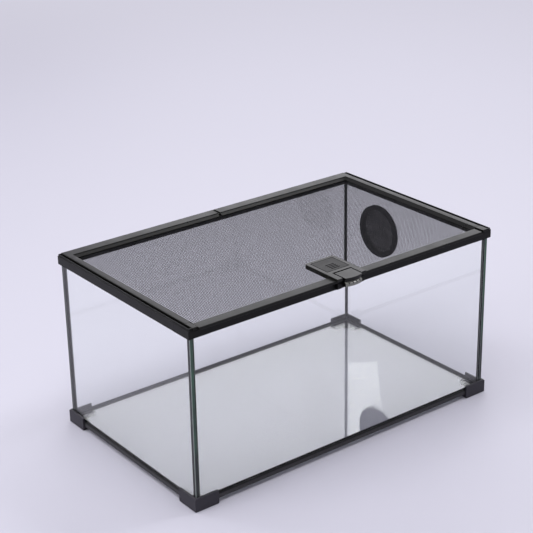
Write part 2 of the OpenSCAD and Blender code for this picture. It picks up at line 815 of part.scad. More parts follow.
module latch_tongue() {
    w = tongue_w / 2;
    top = tank_h + latch_up;
    wall_r = tongue_bow - tongue_groove;
    lip_r = tongue_bow + tongue_lip;
    lip_h = 4.2;
    slope = 1.4;
    color("#3b3b37") translate([latch_x, 0, 0]) difference() {
        union() {
            // Barrel round the pin
            translate([-w, -pivot_y, pivot_z]) rotate([0, 90, 0]) cylinder(h = tongue_w, r = barrel_r);
            difference() {
                intersection() {
                    translate([0, -bow_y, 0]) union() {
                        // Plate
                        translate([0, 0, top - tongue_t])
                            cylinder(h = tongue_t, r = tongue_bow, $fn = 96);
                        // Front wall, set back under the plate
                        translate([0, 0, tongue_z]) cylinder(h = tongue_drop, r = wall_r, $fn = 96);
                        // Finger lip along the foot of the wall
                        translate([0, 0, tongue_z]) cylinder(h = lip_h, r = lip_r, $fn = 96);
                        translate([0, 0, tongue_z + lip_h])
                            cylinder(h = slope, r1 = lip_r, r2 = wall_r, $fn = 96);
                    }
                    translate([-w, -half_d - tongue_front - 1, tongue_z])
                        cube([tongue_w, half_d + tongue_front + 1 - pivot_y, tongue_drop]);
                }
                // Hollow behind the wall, and the nose's straight inner face
                translate([0, -bow_y, tongue_z + nose_h])
                    cylinder(h = tongue_drop - nose_h - tongue_t, r = wall_r - tongue_wall, $fn = 96);
                translate([-w - 1, -nose_y, tongue_z - 1]) cube([tongue_w + 2, nose_y, nose_h + 2]);
                // Grip notches in the finger lip
                for (k = [-1.5:1.5])
                    translate([0, -bow_y, tongue_z + lip_h - slope])
                        rotate([0, 0, k * 9 - 90])
                            translate([wall_r, -0.6, 0]) cube([tongue_groove * 3, 1.2, 2 * slope + 1]);
            }
        }
        translate([-w - 1, -pivot_y, pivot_z])
            rotate([0, 90, 0]) cylinder(h = tongue_w + 2, r = latch_pin_r + fit);
    }
}

glass_bottom();
end_pane(false);  // glass_front
end_pane(true);  // glass_back
side_pane(false);  // glass_left
side_pane(true);  // glass_right
corner_seal(false, false);  // seal_front_left
corner_seal(true, false);  // seal_front_right
corner_seal(false, true);  // seal_back_left
corner_seal(true, true);  // seal_back_right
seal_bottom();
foot(false, false);  // foot_front_left
foot(true, false);  // foot_front_right
foot(false, true);  // foot_back_left
foot(true, true);  // foot_back_right
trim_x(false);  // base_trim_front
trim_x(true);  // base_trim_back
trim_y(false);  // base_trim_left
trim_y(true);  // base_trim_right
frame_corner_piece(false, false);  // frame_corner_front_left
frame_corner_piece(true, false);  // frame_corner_front_right
frame_corner_piece(false, true);  // frame_corner_back_left
frame_corner_piece(true, true);  // frame_corner_back_right
frame_front(-half_w + frame_corner, latch_x - catch_w / 2);  // frame_rail_front_left
frame_front(latch_x + catch_w / 2, half_w - frame_corner);  // frame_rail_front_right
frame_rail_back();
frame_side(false);  // frame_rail_left
frame_side(true);  // frame_rail_right
front_catch();
hinge_leaf(-1);  // hinge_leaf_left
hinge_leaf(1);  // hinge_leaf_right
hinge_pin(-1);  // hinge_pin_left
hinge_pin(1);  // hinge_pin_right
hinge_screws();
vent_flange();
vent_grille();
vent_ring();
lid_corner_front(false);  // lid_corner_front_left
lid_corner_front(true);  // lid_corner_front_right
lid_corner_back(false);  // lid_corner_back_left
lid_corner_back(true);  // lid_corner_back_right
lid_side(false);  // lid_rail_left
lid_side(true);  // lid_rail_right
lid_rail_front(-lid_x + lid_corner_l, latch_x - latch_w / 2);  // lid_rail_front_left
lid_rail_front(latch_x + latch_w / 2, lid_x - lid_corner_r);  // lid_rail_front_right
lid_rail_back(-lid_x + lid_corner_leg, joiner_l);  // lid_rail_back_left
lid_rail_back(joiner_l + joiner_gap, lid_x - lid_corner_leg);  // lid_rail_back_right
lid_joiner();
lid_screen();
lid_spline();
hinge_lug(-1);  // hinge_lug_left
hinge_lug(1);  // hinge_lug_right
latch_body();
latch_pin();
latch_tongue();
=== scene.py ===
import json
import math

import bpy
from mathutils import Matrix, Vector

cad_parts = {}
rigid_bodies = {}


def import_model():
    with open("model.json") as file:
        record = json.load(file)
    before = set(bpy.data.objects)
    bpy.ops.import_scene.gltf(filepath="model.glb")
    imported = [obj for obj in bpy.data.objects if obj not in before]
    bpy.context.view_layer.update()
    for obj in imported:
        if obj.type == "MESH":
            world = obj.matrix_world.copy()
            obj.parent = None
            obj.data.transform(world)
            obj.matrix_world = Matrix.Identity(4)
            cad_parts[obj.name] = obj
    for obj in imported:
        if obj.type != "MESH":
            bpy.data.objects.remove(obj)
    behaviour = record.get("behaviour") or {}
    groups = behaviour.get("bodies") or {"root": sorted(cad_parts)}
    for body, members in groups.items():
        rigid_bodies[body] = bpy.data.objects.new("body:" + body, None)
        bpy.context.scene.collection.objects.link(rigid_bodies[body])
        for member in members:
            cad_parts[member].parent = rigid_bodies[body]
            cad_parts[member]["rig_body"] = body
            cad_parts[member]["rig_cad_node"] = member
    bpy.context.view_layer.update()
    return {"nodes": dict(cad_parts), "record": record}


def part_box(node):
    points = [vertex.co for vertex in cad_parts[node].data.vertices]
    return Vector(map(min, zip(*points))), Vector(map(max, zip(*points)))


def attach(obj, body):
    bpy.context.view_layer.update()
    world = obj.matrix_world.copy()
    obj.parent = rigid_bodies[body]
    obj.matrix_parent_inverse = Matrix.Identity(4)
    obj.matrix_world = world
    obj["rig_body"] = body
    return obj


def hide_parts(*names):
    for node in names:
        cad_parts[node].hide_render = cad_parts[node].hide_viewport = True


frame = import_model()

bl_info = {
    "name": "Screen-Lid Terrarium",
    "version": (1, 0, 0),
    "blender": (4, 5, 0),
    "location": "3D View > Sidebar > Terrarium",
    "description": "Finishes a low glass terrarium with a woven screen lid, and lights it",
    "category": "Object",
}

MM = 0.001            # a millimetre in metres
WALL = "#d3d1df"      # the studio wall's colour
GLASS_IOR = 1.52      # soda-lime glass
PLASTIC_IOR = 1.5     # ABS, PVC, acetal, nylon, EPDM and baked paint are all near this
NOISE = (0.3, 0.7)    # nearly all of a noise texture's output lies between these


# ---- Sizes and strengths that can be changed -------------------------------------------

class GlassSettings(bpy.types.PropertyGroup):
    arris: bpy.props.FloatProperty(
        name="Arris", description="Width of the ground edge of each pane",
        default=0.6 * MM, min=0.1 * MM, max=1.0 * MM,
        subtype="DISTANCE", unit="LENGTH", precision=5)
    absorption: bpy.props.FloatProperty(
        name="Absorption", description="How fast the glass darkens with depth, per metre",
        default=4.0, min=0.0, max=40.0)


class MouldingSettings(bpy.types.PropertyGroup):
    foot_radius: bpy.props.FloatProperty(
        name="Foot edges", description="Rounding of the corner feet's edges",
        default=0.7 * MM, min=0.1 * MM, max=1.5 * MM,
        subtype="DISTANCE", unit="LENGTH", precision=5)
    rail_radius: bpy.props.FloatProperty(
        name="Rail edges", description="Rounding of the extruded rails' edges",
        default=0.38 * MM, min=0.05 * MM, max=0.6 * MM,
        subtype="DISTANCE", unit="LENGTH", precision=5)
    latch_radius: bpy.props.FloatProperty(
        name="Latch edges", description="Rounding of the latch's edges",
        default=0.18 * MM, min=0.05 * MM, max=0.8 * MM,
        subtype="DISTANCE", unit="LENGTH", precision=5)


class ScreenSettings(bpy.types.PropertyGroup):
    lid_wire: bpy.props.FloatProperty(
        name="Lid wire", description="Diameter of the lid screen's wire",
        default=0.57 * MM, min=0.1 * MM, max=0.8 * MM,
        subtype="DISTANCE", unit="LENGTH", precision=5)
    lid_pitch: bpy.props.FloatProperty(
        name="Lid pitch", description="Distance between the lid screen's wires",
        default=2.6 * MM, min=1.0 * MM, max=4.0 * MM,
        subtype="DISTANCE", unit="LENGTH", precision=5)
    vent_wire: bpy.props.FloatProperty(
        name="Vent wire", description="Diameter of the vent screen's wire",
        default=0.47 * MM, min=0.1 * MM, max=0.6 * MM,
        subtype="DISTANCE", unit="LENGTH", precision=5)
    vent_pitch: bpy.props.FloatProperty(
        name="Vent pitch", description="Distance between the vent screen's wires",
        default=0.8 * MM, min=0.7 * MM, max=4.0 * MM,
        subtype="DISTANCE", unit="LENGTH", precision=5)


class StageSettings(bpy.types.PropertyGroup):
    lens: bpy.props.FloatProperty(
        name="Lens", description="Focal length of the camera in millimetres",
        default=99.3, min=20.0, max=300.0)
    key_power: bpy.props.FloatProperty(
        name="Overhead softbox", description="Power of the large lamp overhead in watts",
        default=38.0, min=0.0, max=500.0)
    rear_power: bpy.props.FloatProperty(
        name="Rear softbox", description="Power of the lamp behind the tank in watts",
        default=32.0, min=0.0, max=500.0)
    side_power: bpy.props.FloatProperty(
        name="Side softbox", description="Power of the lamp on the left in watts",
        default=15.0, min=0.0, max=500.0)
    edge_power: bpy.props.FloatProperty(
        name="Edge lamps", description="Power of each small lamp that lights the bevels in watts",
        default=14.0, min=0.0, max=500.0)
    sky: bpy.props.FloatProperty(
        name="Room light", description="Strength of the even light from all round",
        default=0.42, min=0.0, max=2.0)


# ---- Materials -------------------------------------------------------------------------

def linear(code):
    """An sRGB hex colour as linear red, green, blue and alpha."""
    channels = [int(code[i:i + 2], 16) / 255 for i in (1, 3, 5)]
    return [c / 12.92 if c <= 0.04045 else ((c + 0.055) / 1.055) ** 2.4 for c in channels] + [1.0]


def add_node(tree, kind, sockets=None, links=None, **settings):
    """Adds one node, sets its options and sockets, and links its inputs to (node, output)."""
    made = tree.nodes.new(kind)
    for name, value in settings.items():
        setattr(made, name, value)
    for name, value in (sockets or {}).items():
        made.inputs[name].default_value = value
    for name, (source, output) in (links or {}).items():
        tree.links.new(source.outputs[output], made.inputs[name])
    return made


def new_material(name):
    """An empty node material with its surface output."""
    made = bpy.data.materials.new(name)
    made.use_nodes = True
    made.node_tree.nodes.clear()
    output = add_node(made.node_tree, "ShaderNodeOutputMaterial")
    return made, made.node_tree, output


def seen_directly(tree):
    """1 where a backdrop is seen, also mirrored or through glass, and 0 where it only lights."""
    ray = add_node(tree, "ShaderNodeLightPath")
    seen = add_node(tree, "ShaderNodeMath", None,
                    {0: (ray, "Is Camera Ray"), 1: (ray, "Is Glossy Ray")}, operation="MAXIMUM")
    return add_node(tree, "ShaderNodeMath", None,
                    {0: (seen, "Value"), 1: (ray, "Is Transmission Ray")}, operation="MAXIMUM")


def float_glass(settings):
    """Soda-lime float glass: clear face on, with a sharp reflection.

    Iron in the melt eats red first, so a long way through the pane turns sea green.
    """
    made, tree, output = new_material("soda_lime_float_glass")
    place = add_node(tree, "ShaderNodeTexCoord")
    # Float glass waves a little over the width of a hand, 60 mm
    wave = add_node(tree, "ShaderNodeTexNoise", {"Scale": 1 / (60 * MM), "Detail": 1.0},
                    {"Vector": (place, "Object")})
    bump = add_node(tree, "ShaderNodeBump", {"Strength": 0.02, "Distance": 0.4 * MM},
                    {"Height": (wave, "Fac")})
    glass = add_node(tree, "ShaderNodeBsdfPrincipled",
                     {"Base Color": linear("#ffffff"), "Roughness": 0.0, "IOR": GLASS_IOR,
                      "Transmission Weight": 1.0},
                     {"Normal": (bump, "Normal")})
    body = add_node(tree, "ShaderNodeVolumeAbsorption",
                    {"Color": linear("#6ecfb4"), "Density": settings.absorption})
    tree.links.new(glass.outputs["BSDF"], output.inputs["Surface"])
    tree.links.new(body.outputs["Volume"], output.inputs["Volume"])
    return made


def ground_glass_edge():
    """Cut edges of float glass, ground on a wet belt: silky, with a painted sea-green glow that
    stands for light carried along the pane and tinted by the iron inside.
    """
    made, tree, output = new_material("belt_ground_glass_edge_painted_glow")
    place = add_node(tree, "ShaderNodeTexCoord")
    # Painted shade: the feet and the frame keep light from the ends, so the painted green glow
    # shows between them
    height = add_node(tree, "ShaderNodeSeparateXYZ", None, {"Vector": (place, "Object")})
    painted_glow_by_height = add_node(tree, "ShaderNodeMapRange",
                    {"From Min": 40 * MM, "From Max": 110 * MM, "To Min": 0.0, "To Max": 0.75},
                    {"Value": (height, "Z")}, interpolation_type="SMOOTHSTEP")
    # and the painted glow gathers in slow bands, 40 mm long
    bands = add_node(tree, "ShaderNodeTexNoise", {"Scale": 1 / (40 * MM), "Detail": 2.0},
                     {"Vector": (place, "Object")})
    # The faint bands drop out and the strong ones reach the full green
    faintest, gain = 0.15, 2.2
    amount = add_node(tree, "ShaderNodeMath", {2: -faintest},
                      {0: (bands, "Fac"), 1: (painted_glow_by_height, "Result")},
                      operation="MULTIPLY_ADD", use_clamp=True)
    amount = add_node(tree, "ShaderNodeMath", {1: gain}, {0: (amount, "Value")},
                      operation="MULTIPLY", use_clamp=True)
    # Painted light: dark where the glow is painted out, sea green where it is painted in
    tint = add_node(tree, "ShaderNodeMix", {6: linear("#1a1f20"), 7: linear("#3a6650")},
                    {0: (amount, "Value")}, data_type="RGBA")
    # 120 grit leaves scratches of 0.15 mm, drawn at 0.4 mm so that they show
    grind = add_node(tree, "ShaderNodeTexNoise", {"Scale": 1 / (0.4 * MM), "Detail": 2.0},
                     {"Vector": (place, "Object")})
    bump = add_node(tree, "ShaderNodeBump", {"Strength": 0.3, "Distance": 0.02 * MM},
                    {"Height": (grind, "Fac")})
    ground = add_node(tree, "ShaderNodeBsdfPrincipled", {"Roughness": 0.35, "IOR": GLASS_IOR},
                      {"Base Color": (tint, 2), "Normal": (bump, "Normal")})
    tree.links.new(ground.outputs["BSDF"], output.inputs["Surface"])
    return made


def frosted_arris():
    """The narrow bevel that a hand stone leaves on a pane's edge: dry, white and crumbly."""
    made, tree, output = new_material("stone_dressed_glass_arris")
    place = add_node(tree, "ShaderNodeTexCoord")
    # Chips and missed spots come every 8 mm or so
    chips = add_node(tree, "ShaderNodeTexNoise", {"Scale": 1 / (8 * MM), "Detail": 4.0},
                     {"Vector": (place, "Object")})
    tint = add_node(tree, "ShaderNodeMix", {6: linear("#6f7a76"), 7: linear("#aab3af")},
                    {0: (chips, "Fac")}, data_type="RGBA")
    bump = add_node(tree, "ShaderNodeBump", {"Strength": 0.4, "Distance": 0.05 * MM},
                    {"Height": (chips, "Fac")})
    frost = add_node(tree, "ShaderNodeBsdfPrincipled", {"Roughness": 0.55, "IOR": GLASS_IOR},
                     {"Base Color": (tint, 2), "Normal": (bump, "Normal")})
    tree.links.new(frost.outputs["BSDF"], output.inputs["Surface"])
    return made


def speckled_plastic(name, colour, pale, roughness, grain, depth, gloss, streak=None, black_above=None):
    """A moulded or extruded plastic: an even colour, a fine grain, and patches of wear.

    The colour goes from colour to pale. grain is the size of the surface texture in metres and
    depth is its height. gloss is the specular level. streak is the axis that an extrusion's die
    lines follow. Above the height that the last argument gives, the colour turns black.
    """
    made, tree, output = new_material(name)
    place = add_node(tree, "ShaderNodeTexCoord")
    texture = add_node(tree, "ShaderNodeTexNoise",
                       {"Scale": 1 / grain, "Detail": 3.0, "Roughness": 0.6},
                       {"Vector": (place, "Object")})
    # Handling dulls patches some 25 mm across
    patches = add_node(tree, "ShaderNodeTexNoise", {"Scale": 1 / (25 * MM), "Detail": 4.0},
                       {"Vector": (place, "Object")})
    tint = add_node(tree, "ShaderNodeMix", {6: linear(colour), 7: linear(pale)},
                    {0: (patches, "Fac")}, data_type="RGBA")
    if black_above is not None:
        up = add_node(tree, "ShaderNodeSeparateXYZ", None, {"Vector": (place, "Object")})
        # The black band's edge wanders by 0.6 mm and fades out over 0.4 mm
        wave = add_node(tree, "ShaderNodeMath", {1: 0.6 * MM},
                        {0: (patches, "Fac"), 2: (up, "Z")}, operation="MULTIPLY_ADD")
        blackened = add_node(tree, "ShaderNodeMapRange",
                         {"From Min": black_above, "From Max": black_above + 0.4 * MM},
                         {"Value": (wave, "Value")})
        tint = add_node(tree, "ShaderNodeMix", {7: linear("#070708")},
                        {0: (blackened, "Result"), 6: (tint, 2)}, data_type="RGBA")
    polished, dulled = roughness - 0.05, roughness + 0.07
    dull = add_node(tree, "ShaderNodeMapRange",
                    {"From Min": NOISE[0], "From Max": NOISE[1],
                     "To Min": polished, "To Max": dulled},
                    {"Value": (patches, "Fac")})
    height = (texture, "Fac")
    if streak is not None:
        # Die lines: about a millimetre apart across the run and a hundred times longer along it
        scale = [1 / (1.1 * MM)] * 3
        scale[streak] = 1 / (120 * MM)
        along = add_node(tree, "ShaderNodeMapping", {"Scale": scale},
                         {"Vector": (place, "Object")})
        lines = add_node(tree, "ShaderNodeTexNoise", {"Scale": 1.0, "Detail": 2.0},
                         {"Vector": (along, "Vector")})
        both = add_node(tree, "ShaderNodeMath", None,
                        {0: (texture, "Fac"), 1: (lines, "Fac")}, operation="ADD")
        height = (both, "Value")
    bump = add_node(tree, "ShaderNodeBump", {"Strength": 0.35, "Distance": depth},
                    {"Height": height})
    plastic = add_node(tree, "ShaderNodeBsdfPrincipled",
                       {"IOR": PLASTIC_IOR, "Specular IOR Level": gloss},
                       {"Base Color": (tint, 2), "Roughness": (dull, "Result"),
                        "Normal": (bump, "Normal")})
    tree.links.new(plastic.outputs["BSDF"], output.inputs["Surface"])
    return made


def rail_skins(where, colour, pale, roughness):
    """Extruded PVC for rails along X and along Y: satin black, with die lines along the run."""
    return [speckled_plastic("extruded_black_pvc_%s_%s" % (where, "xy"[axis]), colour, pale,
                             roughness, grain=0.35 * MM, depth=0.02 * MM, gloss=0.16,
                             streak=axis) for axis in (0, 1)]


def tooled_silicone():
    """Neutral-cure black silicone, smoothed with a wet finger: soft satin with slow ripples."""
    made, tree, output = new_material("tooled_black_silicone")
    place = add_node(tree, "ShaderNodeTexCoord")
    # The tool skips every 9 mm or so
    ripple = add_node(tree, "ShaderNodeTexNoise", {"Scale": 1 / (9 * MM), "Detail": 2.0},
                      {"Vector": (place, "Object")})
    bump = add_node(tree, "ShaderNodeBump", {"Strength": 0.4, "Distance": 0.2 * MM},
                    {"Height": (ripple, "Fac")})
    sheen = add_node(tree, "ShaderNodeMapRange",
                     {"From Min": NOISE[0], "From Max": NOISE[1], "To Min": 0.28, "To Max": 0.42},
                     {"Value": (ripple, "Fac")})
    # Silicone bends light a little less than the hard plastics
    rubber = add_node(tree, "ShaderNodeBsdfPrincipled",
                      {"Base Color": linear("#090a0c"), "IOR": 1.41, "Specular IOR Level": 0.25},
                      {"Normal": (bump, "Normal"), "Roughness": (sheen, "Result")})
    tree.links.new(rubber.outputs["BSDF"], output.inputs["Surface"])
    return made


def extruded_rubber():
    """Black EPDM cord, pressed into its groove: matt, with a faint bloom."""
    made, tree, output = new_material("extruded_epdm_rubber")
    place = add_node(tree, "ShaderNodeTexCoord")
    # The bloom comes in spots of 4 mm
    bloom = add_node(tree, "ShaderNodeTexNoise", {"Scale": 1 / (4 * MM), "Detail": 5.0},
                     {"Vector": (place, "Object")})
    tint = add_node(tree, "ShaderNodeMix", {6: linear("#111113"), 7: linear("#232326")},
                    {0: (bloom, "Fac")}, data_type="RGBA")
    rubber = add_node(tree, "ShaderNodeBsdfPrincipled", {"Roughness": 0.72, "IOR": PLASTIC_IOR},
                      {"Base Color": (tint, 2)})
    tree.links.new(rubber.outputs["BSDF"], output.inputs["Surface"])
    return made


def coated_wire(name, colour):
    """Aluminium wire with a baked black coat: satin, a little uneven from wire to wire."""
    made, tree, output = new_material(name)
    place = add_node(tree, "ShaderNodeTexCoord")
    # The coat pools every 6 mm or so
    coat = add_node(tree, "ShaderNodeTexNoise", {"Scale": 1 / (6 * MM), "Detail": 3.0},
                    {"Vector": (place, "Object")})
    shine = add_node(tree, "ShaderNodeMapRange",
                     {"From Min": NOISE[0], "From Max": NOISE[1], "To Min": 0.52, "To Max": 0.68},
                     {"Value": (coat, "Fac")})
    wire = add_node(tree, "ShaderNodeBsdfPrincipled",
                    {"Base Color": linear(colour), "IOR": PLASTIC_IOR, "Specular IOR Level": 0.2},
                    {"Roughness": (shine, "Result")})
    tree.links.new(wire.outputs["BSDF"], output.inputs["Surface"])
    return made


def zinc_plated_steel():
    """Zinc-plated steel: a bright metal with a soft grain where the plating grew."""
    made, tree, output = new_material("zinc_plated_steel")
    place = add_node(tree, "ShaderNodeTexCoord")
    # The plating's crystals are too fine to see, so they are drawn at 1.2 mm
    grain = add_node(tree, "ShaderNodeTexNoise", {"Scale": 1 / (1.2 * MM), "Detail": 4.0},
                     {"Vector": (place, "Object")})
    rough = add_node(tree, "ShaderNodeMapRange",
                     {"From Min": NOISE[0], "From Max": NOISE[1], "To Min": 0.24, "To Max": 0.4},
                     {"Value": (grain, "Fac")})
    tint = add_node(tree, "ShaderNodeMix", {6: linear("#a9adb2"), 7: linear("#c4c6c9")},
                    {0: (grain, "Fac")}, data_type="RGBA")
    steel = add_node(tree, "ShaderNodeBsdfPrincipled", {"Metallic": 1.0},
                     {"Base Color": (tint, 2), "Roughness": (rough, "Result")})
    tree.links.new(steel.outputs["BSDF"], output.inputs["Surface"])
    return made


def matt_board():
    """Pale matt board, plain all over but for a trace of tooth."""
    made, tree, output = new_material("pale_matt_board")
    place = add_node(tree, "ShaderNodeTexCoord")
    # The board's tooth is 3 mm across and 0.2 mm deep
    tooth = add_node(tree, "ShaderNodeTexNoise", {"Scale": 1 / (3 * MM), "Detail": 2.0},
                     {"Vector": (place, "Object")})
    bump = add_node(tree, "ShaderNodeBump", {"Strength": 0.05, "Distance": 0.2 * MM},
                    {"Height": (tooth, "Fac")})
    board = add_node(tree, "ShaderNodeBsdfPrincipled",
                     {"Base Color": linear("#cac8d6"), "Roughness": 0.6,
                      "Specular IOR Level": 0.25},
                     {"Normal": (bump, "Normal")})
    # From 1.5 m to 3 m out, the board takes the wall's colour where it is seen, so that it seems
    # to bend up into the wall
    reach = add_node(tree, "ShaderNodeVectorMath", None, {0: (place, "Object")},
                     operation="LENGTH")
    bend = add_node(tree, "ShaderNodeMapRange", {"From Min": 1.5, "From Max": 3.0},
                    {"Value": (reach, "Value")}, interpolation_type="SMOOTHSTEP")
    seen = seen_directly(tree)
    far = add_node(tree, "ShaderNodeMath", None, {0: (bend, "Result"), 1: (seen, "Value")},
                   operation="MULTIPLY")
    wall = add_node(tree, "ShaderNodeEmission", {"Color": linear(WALL), "Strength": 1.0})
    both = add_node(tree, "ShaderNodeMixShader", None,
                    {0: (far, "Value"), 1: (board, "BSDF"), 2: (wall, "Emission")})
    tree.links.new(both.outputs["Shader"], output.inputs["Surface"])
    return made


# ---- Helpers ---------------------------------------------------------------------------

def deselect():
    """Leaves edit mode and selects nothing."""
    if bpy.context.object and bpy.context.object.mode != "OBJECT":
        bpy.ops.object.mode_set(mode="OBJECT")
    bpy.ops.object.select_all(action="DESELECT")


def pick(obj):
    """Selects one object alone and makes it active."""
    deselect()
    obj.select_set(True)
    bpy.context.view_layer.objects.active = obj


def body_of(node):
    """The body that a CAD node rides on."""
    return frame["nodes"][node]["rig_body"]


def nodes_in(slot):
    """The CAD nodes that have one material slot, in the record's order."""
    return [part["node"] for part in frame["record"]["subparts"] if part["material_slot"] == slot]


def run_axis(node):
    """The axis that a rail was extruded along."""
    low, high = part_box(node)
    return 0 if high[0] - low[0] >= high[1] - low[1] else 1


def paint(obj, material):
    """Gives an object one material."""
    obj.data.materials.clear()
    obj.data.materials.append(material)


def settle(obj, node, material):
    """Puts a finished piece in its CAD node's place."""
    paint(obj, material)
    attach(obj, body_of(node))
    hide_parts(node)


def rounded_copy(node, radius, segments=2, sharper_than=50, smooth_below=50):
    """Copies a CAD node, joins its loose triangles into faces and rounds its square edges.

    Edges that turn by more than sharper_than degrees are rounded, and those that turn by less
    than smooth_below shade smooth.
    """
    pick(frame["nodes"][node])
    bpy.ops.object.duplicate(linked=False)
    piece = bpy.context.object
    piece.name = node + "_finished"
    piece.data.name = piece.name
    bpy.ops.object.parent_clear(type="CLEAR_KEEP_TRANSFORM")
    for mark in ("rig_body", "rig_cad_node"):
        if mark in piece:
            del piece[mark]
    bpy.ops.object.mode_set(mode="EDIT")
    bpy.ops.mesh.select_all(action="SELECT")
    bpy.ops.mesh.customdata_custom_splitnormals_clear()
    same_place, same_plane = 0.002 * MM, math.radians(0.5)
    bpy.ops.mesh.remove_doubles(threshold=same_place)
    bpy.ops.mesh.dissolve_limited(angle_limit=same_plane)
    bpy.ops.object.mode_set(mode="OBJECT")
    if radius:
        bpy.ops.object.modifier_add(type="BEVEL")
        bevel = piece.modifiers[-1]
        bevel.width = radius
        bevel.segments = segments
        bevel.limit_method = "ANGLE"
        bevel.angle_limit = math.radians(sharper_than)
        bevel.use_clamp_overlap = True
        bevel.harden_normals = False
        bpy.ops.object.modifier_apply(modifier=bevel.name)
    bpy.ops.object.shade_smooth_by_angle(angle=math.radians(smooth_below))
    # Large faces keep their own normals, so only the rounded edges shade round
    bpy.ops.object.modifier_add(type="WEIGHTED_NORMAL")
    weighted = piece.modifiers[-1]
    weighted.keep_sharp = True
    bpy.ops.object.modifier_apply(modifier=weighted.name)
    return piece


def wire_layer(name, low, high, along, pitch, radius, height):
    """One layer of level wires between two corners: a wire is modelled once and arrayed.

    along is the axis that the wires follow, and height is where their middles lie.
    """
    across = 1 - along
    length = high[along] - low[along]
    span = high[across] - low[across]
    count = int(span / pitch) + 1
    start = [0.0, 0.0, height]
    start[along] = (low[along] + high[along]) / 2
    start[across] = (low[across] + high[across]) / 2 - (count - 1) * pitch / 2
    turn = (0, math.pi / 2, 0) if along == 0 else (math.pi / 2, 0, 0)
    deselect()
    bpy.ops.mesh.primitive_cylinder_add(vertices=6, radius=radius, depth=length,
                                        location=start, rotation=turn)
    layer = bpy.context.object
    layer.name = name
    bpy.ops.object.transform_apply(location=True, rotation=True, scale=True)
    bpy.ops.object.modifier_add(type="ARRAY")
    rows = layer.modifiers[-1]
    rows.count = count
    rows.use_relative_offset = False
    rows.use_constant_offset = True
    rows.constant_offset_displace = [pitch if axis == across else 0.0 for axis in range(3)]
    bpy.ops.object.modifier_apply(modifier=rows.name)
    return layer


def join(pieces, name):
    """Joins pieces into one object."""
    deselect()
    for piece in pieces:
        piece.select_set(True)
    bpy.context.view_layer.objects.active = pieces[0]
    bpy.ops.object.join()
    whole = bpy.context.object
    whole.name = name
    whole.data.name = name
    return whole


# ---- Operators -------------------------------------------------------------------------

class TERRARIUM_OT_stage(bpy.types.Operator):
    """Sets up the camera, the floor, the soft lamps and the even room light"""
    bl_idname = "terrarium.stage"
    bl_label = "Stage"

    def execute(self, context):
        scene = context.scene
        settings = scene.terrarium_stage
        scene.view_settings.view_transform = "Standard"

        deselect()
        bpy.ops.object.camera_add()
        camera = context.object
        camera.name = "camera"
        # It stands 1.8 m off, to the tank's front left, and about a metre up
        place = Vector((-1.1143, -1.4369, 0.9872))
        right = Vector((0.79064, -0.61202, -0.01771))
        down = Vector((-0.25280, -0.29996, -0.91985))
        ahead = Vector((0.55765, 0.73175, -0.39188))
        turn = Matrix((right, -down, -ahead)).transposed()
        camera.matrix_world = Matrix.Translation(place) @ turn.to_4x4()
        camera.data.lens = settings.lens
        camera.data.sensor_width = 36   # millimetres
        camera.data.clip_end = 50       # metres
        scene.camera = camera

        deselect()
        bpy.ops.mesh.primitive_plane_add(size=16, location=(0, 0, 0))
        floor = context.object
        floor.name = "floor"
        paint(floor, matt_board())

        # Name, place, aim, size and power, in metres and watts
        lamps = (
            ("overhead_softbox", (-0.5, -0.2, 2.4), (0, 0, 0.1), 2.2, settings.key_power),
            ("rear_softbox", (2.3, 2.1, 1.6), (0, 0, 0.25), 2.6, settings.rear_power),
            ("side_softbox", (-2.4, 0.5, 1.1), (0, 0, 0.2), 1.4, settings.side_power),
            ("right_edge_lamp", (1.39, -0.33, 2.29), (0, -0.15, 0.25), 0.6,
             settings.edge_power),
            ("left_edge_lamp", (-1.3, 2.3, 1.9), (0, 0, 0.25), 0.8, settings.edge_power),
        )
        for name, place, aim, size, power in lamps:
            deselect()
            bpy.ops.object.light_add(type="AREA", location=place)
            lamp = context.object
            lamp.name = name
            beam = Vector(aim) - Vector(place)
            lamp.rotation_euler = beam.to_track_quat("-Z", "Y").to_euler()
            lamp.data.shape = "SQUARE"
            lamp.data.size = size
            lamp.data.energy = power

        world = bpy.data.worlds.new("studio_room")
        scene.world = world
        world.use_nodes = True
        tree = world.node_tree
        tree.nodes.clear()
        seen = seen_directly(tree)
        room = add_node(tree, "ShaderNodeBackground",
                        {"Color": linear("#f2f2f6"), "Strength": settings.sky})
        wall = add_node(tree, "ShaderNodeBackground", {"Color": linear(WALL), "Strength": 1.0})
        both = add_node(tree, "ShaderNodeMixShader", None,
                        {0: (seen, "Value"), 1: (room, "Background"),
                         2: (wall, "Background")})
        add_node(tree, "ShaderNodeOutputWorld", None, {"Surface": (both, "Shader")})
        return {"FINISHED"}


class TERRARIUM_OT_glass(bpy.types.Operator):
    """Gives the five panes their ground edges and their glass"""
    bl_idname = "terrarium.glass"
    bl_label = "Glass panes"

    def execute(self, context):
        settings = context.scene.terrarium_glass
        glass = float_glass(settings)
        ground = ground_glass_edge()
        frosted = frosted_arris()
        clear_face, cut_edge, arris = range(3)
        # How squarely a face looks along the pane's thickness: 1 on a broad face, 0.7 on an
        # arris and 0 on a cut edge
        broad, slanting = 0.9, 0.3
        for node in nodes_in("clear_glass"):
            piece = rounded_copy(node, settings.arris, segments=1, sharper_than=60,
                                 smooth_below=30)
            settle(piece, node, glass)
            piece.data.materials.append(ground)
            piece.data.materials.append(frosted)
            low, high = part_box(node)
            thin = min(range(3), key=lambda axis: high[axis] - low[axis])
            for face in piece.data.polygons:
                flat = abs(face.normal[thin])
                face.material_index = (clear_face if flat > broad else
                                       arris if flat > slanting else cut_edge)
        return {"FINISHED"}


class TERRARIUM_OT_silicone(bpy.types.Operator):
    """Finishes the silicone beads in the corners and round the floor"""
    bl_idname = "terrarium.silicone"
    bl_label = "Silicone beads"

    def execute(self, context):
        silicone = tooled_silicone()
        for node in nodes_in("black_silicone"):
            settle(rounded_copy(node, 0), node, silicone)
        return {"FINISHED"}


